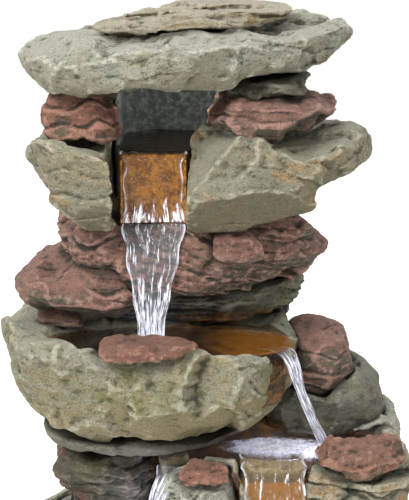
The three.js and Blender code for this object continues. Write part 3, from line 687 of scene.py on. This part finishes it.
# ---- Spillway plates -----------------------------------------------------------------------
# Amber-glazed panels under the sheets of water: thick glossy enamel over a rough brown coat.
mix = Paint("amber_enamel")
mottle = mix.noise(0.006, 5, 0.75)
grainy = mix.noise(0.0014, 2, 0.8)
shade = mix.coat((0.11, 0.032, 0.001), (0.42, 0.160, 0.007), mix.between(mottle, 0.40, 0.62))
shade = mix.coat(shade, (0.62, 0.30, 0.030), mix.between(grainy, 0.52, 0.72, 0, 0.8))
shade = mix.coat(shade, (0.05, 0.018, 0.003), mix.between(grainy, 0.44, 0.3, 0, 0.6))
normal = mix.bump(mix.noise(0.0022, 3, 0.7, stretch=(1, 1, 0.5)), 0.5, 0.0009)
AMBER = mix.finish(shade, mix.between(grainy, 0.3, 0.7, 0.10, 0.3), normal)
mix.shader.inputs["Coat Weight"].default_value = 0.6
mix.shader.inputs["Coat Roughness"].default_value = 0.05
for node, seed in (("spillway_plate", 82), ("lower_spillway_plate", 83)):
    panel = copy_node(node)
    recast(panel, 0.0007)
    draw = random.Random(seed)
    press(panel, "CLOUDS", 0.012, 0.0007, draw, flatten=2.0)
    press(panel, "CLOUDS", 0.003, 0.0003, draw)
    keep_in_box(panel)
    bpy.ops.object.shade_smooth()
    panel.data.materials.append(AMBER)
    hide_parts(node)
    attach(panel, "root")

# ---- Pools ---------------------------------------------------------------------------------
# Still water with small rings running out from where each stream lands. The bowls are glazed
# dark amber, so the water looks brown where it is deep and mirrors the stones at its edge.
def pool_paint(name, shallow):
    """shallow is the x, in metres, from which the bed's amber glaze shows through; None where it is deep."""
    mix = Paint(name)
    mix.shader.inputs["IOR"].default_value = 1.33
    colour = (0.022, 0.014, 0.008)
    if shallow is not None:
        across = mix.tree.nodes.new("ShaderNodeSeparateXYZ")
        mix.tree.links.new(mix.place, across.inputs[0])
        patchy = mix.sum_of("ADD", across.outputs[0], mix.sum_of("MULTIPLY", mix.noise(0.009, 4, 0.7), 0.06))
        colour = mix.coat(colour, (0.24, 0.088, 0.010), mix.between(patchy, shallow + 0.020, shallow + 0.050))
    ripple = mix.noise(0.010, 3, 0.6, stretch=(1, 1.6, 1))
    mix.finish(colour, 0.03, mix.bump(ripple, 0.35, 0.002))
    mix.shader.inputs["Alpha"].default_value = 0.55
    return mix.material


POOL_WATER = pool_paint("pool_water", None)
SPOUT_WATER = pool_paint("spout_water", 0.006)


def fill_pool(name, middle, reach, level, depth, landings, paint):
    """Fills to reach(angle) from the middle, with rings round each landing (x, y, height, spread)."""
    rings, slices = ((60, 120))
    bpy.ops.object.select_all(action="DESELECT")
    bpy.ops.mesh.primitive_grid_add(x_subdivisions=slices, y_subdivisions=rings, size=1)
    pool = bpy.context.object
    pool.name = name
    points = read_points(pool.data)
    angle = (points[:, 0] + 0.5) * 2 * math.pi
    share = np.clip(points[:, 1] + 0.5, 0.001, 1) ** 0.8
    span = np.array([reach(a) for a in angle])
    x = middle[0] + np.cos(angle) * share * span
    y = middle[1] + np.sin(angle) * share * span
    z = np.full(len(x), level)
    draw = random.Random(name)
    z += 0.00025 * waves(np.stack([x, y, x * 0], 1), 0.012, draw)
    for lx, ly, height, spread in landings:
        away = np.hypot(x - lx, y - ly)
        z += height * np.cos(away / 0.0017) * np.exp(-away / spread)
    write_points(pool.data, np.stack([x, y, z], 1))
    pick_only(pool)
    bpy.ops.object.mode_set(mode="EDIT")
    bpy.ops.mesh.select_all(action="SELECT")
    bpy.ops.mesh.remove_doubles(threshold=1e-5)
    bpy.ops.mesh.normals_make_consistent(inside=False)
    bpy.ops.object.mode_set(mode="OBJECT")
    body = pool.modifiers.new("body", "SOLIDIFY")
    body.thickness = depth
    body.offset = -1 if pool.data.polygons[0].normal.z > 0 else 1
    apply_all(pool)
    bpy.ops.object.shade_smooth()
    pool.data.materials.append(paint)
    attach(pool, "root")


def ellipse(a, b):
    return lambda angle: a * b / math.hypot(b * math.cos(angle), a * math.sin(angle))


def rounded(a, b, power=5):
    """A rectangle with rounded corners, half widths a and b; a higher power makes them tighter."""
    def reach(angle):
        return ((abs(math.cos(angle)) / a) ** power + (abs(math.sin(angle)) / b) ** power) ** (-1 / power)
    return reach


MAIN_FOOT = (-0.0305, -0.0565)  # where the main fall lands
SIDE_FOOT = (0.074, -0.058)    # where the side stream lands
fill_pool("water_header", (-0.024, 0.002), rounded(0.027, 0.037, 3), 0.3214, 0.002,
          [(-0.029, -0.03, 0.0003, 0.02)], POOL_WATER)
fill_pool("water_upper_pool", (-0.0215, -0.0515), ellipse(0.073, 0.0305), UPPER_LEVEL, 0.0015,
          [(*MAIN_FOOT, 0.0009, 0.016), (0.012, -0.050, 0.0004, 0.012)], SPOUT_WATER)
fill_pool("water_lower_pool", (0.047, -0.042), ellipse(0.066, 0.034), LOWER_LEVEL, 0.0015,
          [(*SIDE_FOOT, 0.0008, 0.016), (0.044, -0.045, 0.0005, 0.012)], POOL_WATER)
fill_pool("water_base_pool", (0.002, 0.002), rounded(0.110, 0.093), 0.058, 0.0015,
          [(0.039, -0.088, 0.0006, 0.012), (-0.033, -0.088, 0.0006, 0.01)], POOL_WATER)

# ---- Falling water -------------------------------------------------------------------------
# Each stream is a thin clear skin with thick, white, braided cords at its edges and down its
# middle. It narrows as it falls and breaks into drops near its foot.


def pour(name, path, across, strands, seed, paint):
    """Pours along path, a list of (x, y, z, half width, half thickness); across is its broad side."""
    rows = 170
    slices = 90
    stops = np.array(path)
    run = np.concatenate([[0], np.cumsum(np.linalg.norm(np.diff(stops[:, :3], axis=0), axis=1))])
    bpy.ops.object.select_all(action="DESELECT")
    bpy.ops.mesh.primitive_grid_add(x_subdivisions=slices, y_subdivisions=rows, size=1)
    stream = bpy.context.object
    stream.name = name
    points = read_points(stream.data)
    turn = (points[:, 0] + 0.5) * 2 * math.pi
    gone = (points[:, 1] + 0.5) * run[-1]
    spread = [np.interp(gone, run, stops[:, i]) for i in range(5)]
    for _ in range(3):
        wide = run[-1] * 0.03
        before = np.clip(gone - wide, 0, run[-1])
        after = np.clip(gone + wide, 0, run[-1])
        spread = [(np.interp(before, run, stops[:, i]) + 2 * value + np.interp(after, run, stops[:, i])) / 4
                  for i, value in enumerate(spread)]
    across = np.array(across) / np.linalg.norm(across)
    outward = np.array([across[1], -across[0], 0])
    side = np.cos(turn)
    draw = random.Random(seed)
    cords = np.zeros(len(turn))
    for k in range(strands):
        where = -0.95 + 1.9 * k / max(1, strands - 1)
        sway = where + 0.10 * np.sin(gone * draw.uniform(60, 150) + draw.uniform(0, 6.3))
        cords += draw.uniform(0.5, 1.3) * np.exp(-((side - sway) / 0.09) ** 2)
    beads = 0.7 + 0.5 * np.sin(gone * 620 + 3 * np.sin(gone * 170) + 9 * side)
    fade = np.clip(gone / (run[-1] * 0.5), 0.08, 1)
    thick = spread[4] * (0.45 + (0.9 * cords * beads) * fade)
    wander = 0.0012 * fade * np.sin(gone * 75 + 2.5 * side)
    place = np.stack(spread[:3], 1) + across * (side * spread[3] * (1 + 0.05 * np.sin(gone * 300)))[:, None]
    place += outward * (np.sin(turn) * thick + wander)[:, None]
    write_points(stream.data, place)
    flow = stream.data.uv_layers[0].data
    for loop in stream.data.loops:
        flow[loop.index].uv = (side[loop.vertex_index], gone[loop.vertex_index] * 100)
    pick_only(stream)
    bpy.ops.object.mode_set(mode="EDIT")
    bpy.ops.mesh.select_all(action="SELECT")
    bpy.ops.mesh.remove_doubles(threshold=1e-6)
    bpy.ops.mesh.select_all(action="DESELECT")
    bpy.ops.mesh.select_non_manifold()
    bpy.ops.mesh.edge_face_add()
    bpy.ops.mesh.select_all(action="SELECT")
    bpy.ops.mesh.normals_make_consistent(inside=False)
    bpy.ops.object.mode_set(mode="OBJECT")
    keep_in_box(stream)
    pick_only(stream)
    bpy.ops.object.shade_smooth()
    stream.data.materials.append(paint)
    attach(stream, "root")


def water_paint(name, clear, white, streak, glow, gush, tint=(0.86, 0.88, 0.97), thin=(0.35, 0.36, 0.38)):
    """Clear film with white streaks that run down it; clear and white are how opaque each is. The streaks are
    white aerated water and, on the film over the amber plate, painted highlights; glow makes them emit, a
    painted glow.

    gush gives the lengths, in cm from the top, between which it whitens, and by how much.
    """
    mix = Paint(name)
    flow = mix.tree.nodes.new("ShaderNodeUVMap").outputs["UV"]
    mix.place = flow
    long = mix.noise(1.0, 4, 0.7, stretch=(5.0, 0.42, 1))
    fine = mix.noise(1.0, 3, 0.7, stretch=(16.0, 1.5, 1), shift=3)
    streaks = mix.sum_of("ADD", mix.sum_of("MULTIPLY", long, 0.6), mix.sum_of("MULTIPLY", fine, 0.4))
    rim = mix.tree.nodes.new("ShaderNodeSeparateXYZ")
    mix.tree.links.new(flow, rim.inputs[0])
    streaks = mix.sum_of("ADD", streaks, mix.between(rim.outputs[1], gush[0], gush[1], 0, gush[2]))
    # white streaks: aerated water in the falls; on the running film over the plate they are painted
    # highlights of the studio lamps
    white_water_and_highlight = mix.between(streaks, streak - 0.05, streak + 0.07)
    off_middle = mix.sum_of("POWER", mix.sum_of("ABSOLUTE", rim.outputs[0], 0), 2.0)
    edge = mix.between(off_middle, 0.72, 0.98, 0, 0.8)
    white_water_and_highlight = mix.sum_of("MAXIMUM", white_water_and_highlight, mix.sum_of("MULTIPLY", edge, mix.between(fine, 0.35, 0.55)))
    colour = mix.coat(thin, tint, white_water_and_highlight)
    mix.finish(colour, 0.04, mix.bump(streaks, 0.6, 0.002))
    mix.shader.inputs["IOR"].default_value = 1.33
    alpha = mix.sum_of("ADD", clear, mix.sum_of("MULTIPLY", white_water_and_highlight, white - clear))
    mix.put(alpha, mix.shader.inputs["Alpha"])
    # painted glow: the white streaks emit light though the water is no lamp
    mix.put(colour, mix.shader.inputs["Emission Color"])
    mix.put(mix.sum_of("MULTIPLY", white_water_and_highlight, glow), mix.shader.inputs["Emission Strength"])
    return mix.material


# on the running film over the amber plate the white streaks, which grow toward its foot, are painted
# highlights
FILM = water_paint("running_film", 0.08, 0.85, streak=0.62, glow=0.45, gush=(3.0, 4.6, 0.13),
                   thin=(0.30, 0.12, 0.01))
SHEET = water_paint("falling_sheet", 0.13, 0.85, streak=0.56, glow=0.3, gush=(2.5, 6.5, 0.10))
CURTAIN = water_paint("weir_curtain", 0.08, 0.85, streak=0.585, glow=0.35, gush=(4.0, 6.5, 0.10),
                      thin=(0.35, 0.28, 0.18))
THREAD = water_paint("falling_thread", 0.14, 0.9, streak=0.60, glow=0.35, gush=(0.8, 2.0, 0.10),
                     tint=(0.84, 0.85, 0.98))

pour("water_spillway_film", [
    (-0.029, -0.030, 0.3212, 0.0183, 0.0006),
    (-0.029, -0.0372, 0.3208, 0.0183, 0.0006),
    (-0.029, -0.0403, 0.3170, 0.0168, 0.0006),
    (-0.029, -0.0405, 0.2880, 0.0168, 0.0007),
    (-0.029, -0.0412, 0.2810, 0.0170, 0.0008)
], (1, 0, 0), 7, 91, FILM)
pour("water_main_fall", [
    (-0.029, -0.0412, 0.2815, 0.0178, 0.0009),
    (-0.0291, -0.0465, 0.2765, 0.0172, 0.0009),
    (-0.0293, -0.0510, 0.268, 0.0158, 0.0010),
    (-0.0298, -0.0545, 0.252, 0.0124, 0.0012),
    (-0.0303, -0.0560, 0.234, 0.0090, 0.0015),
    (-0.0305, -0.0565, 0.2125, 0.0066, 0.0020)
], (1, 0, 0), 7, 92, SHEET)
pour("water_side_stream", [
    (0.036, -0.060, 0.2132, 0.0075, 0.0008),
    (0.0455, -0.064, 0.2128, 0.0062, 0.0012),
    (0.0500, -0.066, 0.2065, 0.0040, 0.0016),
    (0.0545, -0.067, 0.190, 0.0030, 0.0019),
    (0.0625, -0.064, 0.169, 0.0030, 0.0020),
    (0.0705, -0.060, 0.152, 0.0034, 0.0022),
    (0.0735, -0.058, 0.1440, 0.0040, 0.0024)
], (1, 0.25, 0), 4, 93, THREAD)
pour("water_left_stream", [
    (-0.0195, -0.070, 0.1455, 0.0075, 0.0010),
    (-0.0205, -0.082, 0.1450, 0.0068, 0.0014),
    (-0.0240, -0.0885, 0.1400, 0.0055, 0.0016),
    (-0.0285, -0.0908, 0.126, 0.0045, 0.0018),
    (-0.0325, -0.0912, 0.100, 0.0042, 0.0020),
    (-0.035, -0.0912, 0.0565, 0.0050, 0.0022)
], (1, -0.2, 0), 4, 94, THREAD)
pour("water_weir_sheet", [
    (0.0395, -0.052, 0.1462, 0.0185, 0.0006),
    (0.0395, -0.084, 0.1474, 0.0180, 0.0006),
    (0.0395, -0.0885, 0.1435, 0.0172, 0.0007),
    (0.0398, -0.0904, 0.124, 0.0160, 0.0007),
    (0.0398, -0.0904, 0.090, 0.0155, 0.0009),
    (0.040, -0.0900, 0.0570, 0.0140, 0.0014)
], (1, 0, 0), 7, 95, CURTAIN)

# ---- Foam ----------------------------------------------------------------------------------
# White water where a stream lands: a low heap of bubbles; its lilac tint and its glow are painted light from
# the lamp below it.
mix = Paint("foam")
froth = mix.pits(0.0019)
spatter = mix.noise(0.006, 4, 0.75)
mix.finish(mix.coat((0.60, 0.60, 0.78), (0.95, 0.96, 1.0), mix.between(froth, 0.2, 0.6)), 0.25,
           mix.bump(froth, 0.7, 0.001))
# painted glow and painted lilac cast: the foam emits light as if lit by the lamp below
mix.put((0.78, 0.80, 1.0), mix.shader.inputs["Emission Color"])
mix.shader.inputs["Emission Strength"].default_value = 0.22
heap = mix.sum_of("SUBTRACT", mix.stored("heap"), mix.sum_of("MULTIPLY", spatter, 0.9))
solid_heap = mix.between(heap, -0.36, 0.22)
mix.put(solid_heap, mix.shader.inputs["Alpha"])
FOAM_WITH_PAINTED_GLOW = mix.material


def heap_foam(name, middle, radii, level, height, seed):
    """A low oval heap of bubbles, tallest in the middle, on water at the given level."""
    rings, slices = ((44, 96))
    bpy.ops.object.select_all(action="DESELECT")
    bpy.ops.mesh.primitive_grid_add(x_subdivisions=slices, y_subdivisions=rings, size=1)
    foam = bpy.context.object
    foam.name = name
    points = read_points(foam.data)
    angle = (points[:, 0] + 0.5) * 2 * math.pi
    share = np.clip(points[:, 1] + 0.5, 0.001, 1)
    x = middle[0] + np.cos(angle) * share * radii[0]
    y = middle[1] + np.sin(angle) * share * radii[1]
    draw = random.Random(seed)
    flat = np.stack([x, y, x * 0], 1)
    rough = 0.5 + 0.3 * waves(flat, 0.004, draw) + 0.25 * waves(flat, 0.0018, draw)
    z = level + 0.0004 + height * (1 - share ** 2) * np.clip(rough, 0.05, 1.3)
    write_points(foam.data, np.stack([x, y, z], 1))
    set_attribute(foam.data, "heap", 1 - share)
    pick_only(foam)
    bpy.ops.object.mode_set(mode="EDIT")
    bpy.ops.mesh.select_all(action="SELECT")
    bpy.ops.mesh.remove_doubles(threshold=1e-5)
    bpy.ops.mesh.normals_make_consistent(inside=False)
    bpy.ops.object.mode_set(mode="OBJECT")
    body = foam.modifiers.new("body", "SOLIDIFY")
    body.thickness = 0.0004
    apply_all(foam)
    keep_in_box(foam)
    pick_only(foam)
    bpy.ops.object.shade_smooth()
    foam.data.materials.append(FOAM_WITH_PAINTED_GLOW)
    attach(foam, "root")


heap_foam("foam_main_fall", (MAIN_FOOT[0], MAIN_FOOT[1] - 0.001), (0.016, 0.009), UPPER_LEVEL, 0.0035, 101)
heap_foam("foam_side_stream", (0.066, -0.054), (0.016, 0.012), LOWER_LEVEL, 0.0045, 104)
# a wide low heap over the lower lamp: a painted glow of the lamp through the water
heap_foam("painted_lamp_glow_lower", (0.042, -0.042), (0.037, 0.020), LOWER_LEVEL, 0.002, 105)
heap_foam("foam_lower_spill", (0.040, -0.0870), (0.019, 0.008), 0.057, 0.004, 106)
heap_foam("foam_left_stream", (-0.034, -0.085), (0.015, 0.009), 0.057, 0.004, 107)

# ---- Lamp light ----------------------------------------------------------------------------
# The three lamps under the water, cool white with a lilac cast, and what one of them throws up the left.
glows = {"upper": ((-0.032, -0.052, 0.197), 0.05), "lower": ((0.050, -0.045, 0.137), 0.16),
         "base": ((-0.020, -0.056, 0.040), 0.20), "left": ((-0.036, -0.064, 0.112), 0.04)}
for name, (place, watts) in glows.items():
    bulb = bpy.data.lights.new(name + "_glow", "POINT")
    bulb.energy = watts
    bulb.color = (0.72, 0.74, 1.0)
    bulb.shadow_soft_size = 0.008
    holder = bpy.data.objects.new(name + "_glow", bulb)
    bpy.context.collection.objects.link(holder)
    holder.location = place

# ---- Moulded fittings ----------------------------------------------------------------------
# Pump, covers, lamps, socket and leads: black moulded plastic with softened edges, a frosted lens,
# soft rubber feet and cups, a clear PVC riser and a ground steel shaft.


def fitting_paint(name, colour, light, roughness, grain, strength, metal=0.0, alpha=1.0):
    mix = Paint(name)
    cloud = mix.noise(0.012, 3)
    tooth = mix.noise(grain, 2, 0.7)
    shade = mix.coat(colour, light, mix.between(cloud, 0.4, 0.7, 0, 0.7))
    gloss = mix.between(tooth, 0.3, 0.7, roughness - 0.08, roughness + 0.08)
    mix.finish(shade, gloss, mix.bump(tooth, strength, 0.0003))
    mix.shader.inputs["Metallic"].default_value = metal
    mix.shader.inputs["Alpha"].default_value = alpha
    return mix.material


fitting_paints = {
    "black_plastic": fitting_paint("moulded_black", (0.012, 0.012, 0.014), (0.030, 0.030, 0.032),
                                   0.42, 0.0006, 0.25),
    "lead_sheath": fitting_paint("lead_sheath", (0.010, 0.010, 0.010), (0.022, 0.022, 0.022),
                                 0.5, 0.0008, 0.2),
    "rubber": fitting_paint("rubber", (0.014, 0.013, 0.013), (0.030, 0.029, 0.028),
                            0.78, 0.0005, 0.35),
    "clear_tube": fitting_paint("clear_pvc", (0.62, 0.70, 0.72), (0.75, 0.80, 0.80),
                                0.16, 0.004, 0.1, alpha=0.45),
    "lamp_lens": fitting_paint("frosted_lens", (0.70, 0.72, 0.80), (0.85, 0.87, 0.95),
                               0.22, 0.0009, 0.3, alpha=0.8),
    "shaft_steel": fitting_paint("ground_steel", (0.50, 0.50, 0.52), (0.62, 0.62, 0.63),
                                 0.26, 0.0004, 0.2, metal=1.0),
    "charcoal_tank": fitting_paint("rotor_plastic", (0.025, 0.027, 0.028), (0.05, 0.052, 0.055),
                                   0.4, 0.0006, 0.25),
}
lens_paint = fitting_paints["lamp_lens"].node_tree.nodes["Principled BSDF"]
lens_paint.inputs["Emission Color"].default_value = (0.75, 0.78, 1.0, 1)
lens_paint.inputs["Emission Strength"].default_value = 1.2
body_of = {"pump_impeller": "rotor", "pump_intake_cover": "intake", "pump_flow_regulator": "regulator"}
for node, slot in slot_of.items():
    if slot not in fitting_paints or node == "header_tank":
        continue
    piece = copy_node(node)
    piece.name = "moulded_" + node
    if slot in ("black_plastic", "rubber", "lamp_lens"):
        soften = piece.modifiers.new("soften", "BEVEL")
        soften.width = 0.0004
        soften.segments = 2
        soften.limit_method = "ANGLE"
        soften.angle_limit = math.radians(45)
        soften.use_clamp_overlap = True
        apply_all(piece)
    keep_in_box(piece)
    pick_only(piece)
    bpy.ops.object.shade_smooth_by_angle(angle=math.radians(40))
    piece.data.materials.append(fitting_paints[slot])
    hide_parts(node)
    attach(piece, body_of.get(node, "root"))
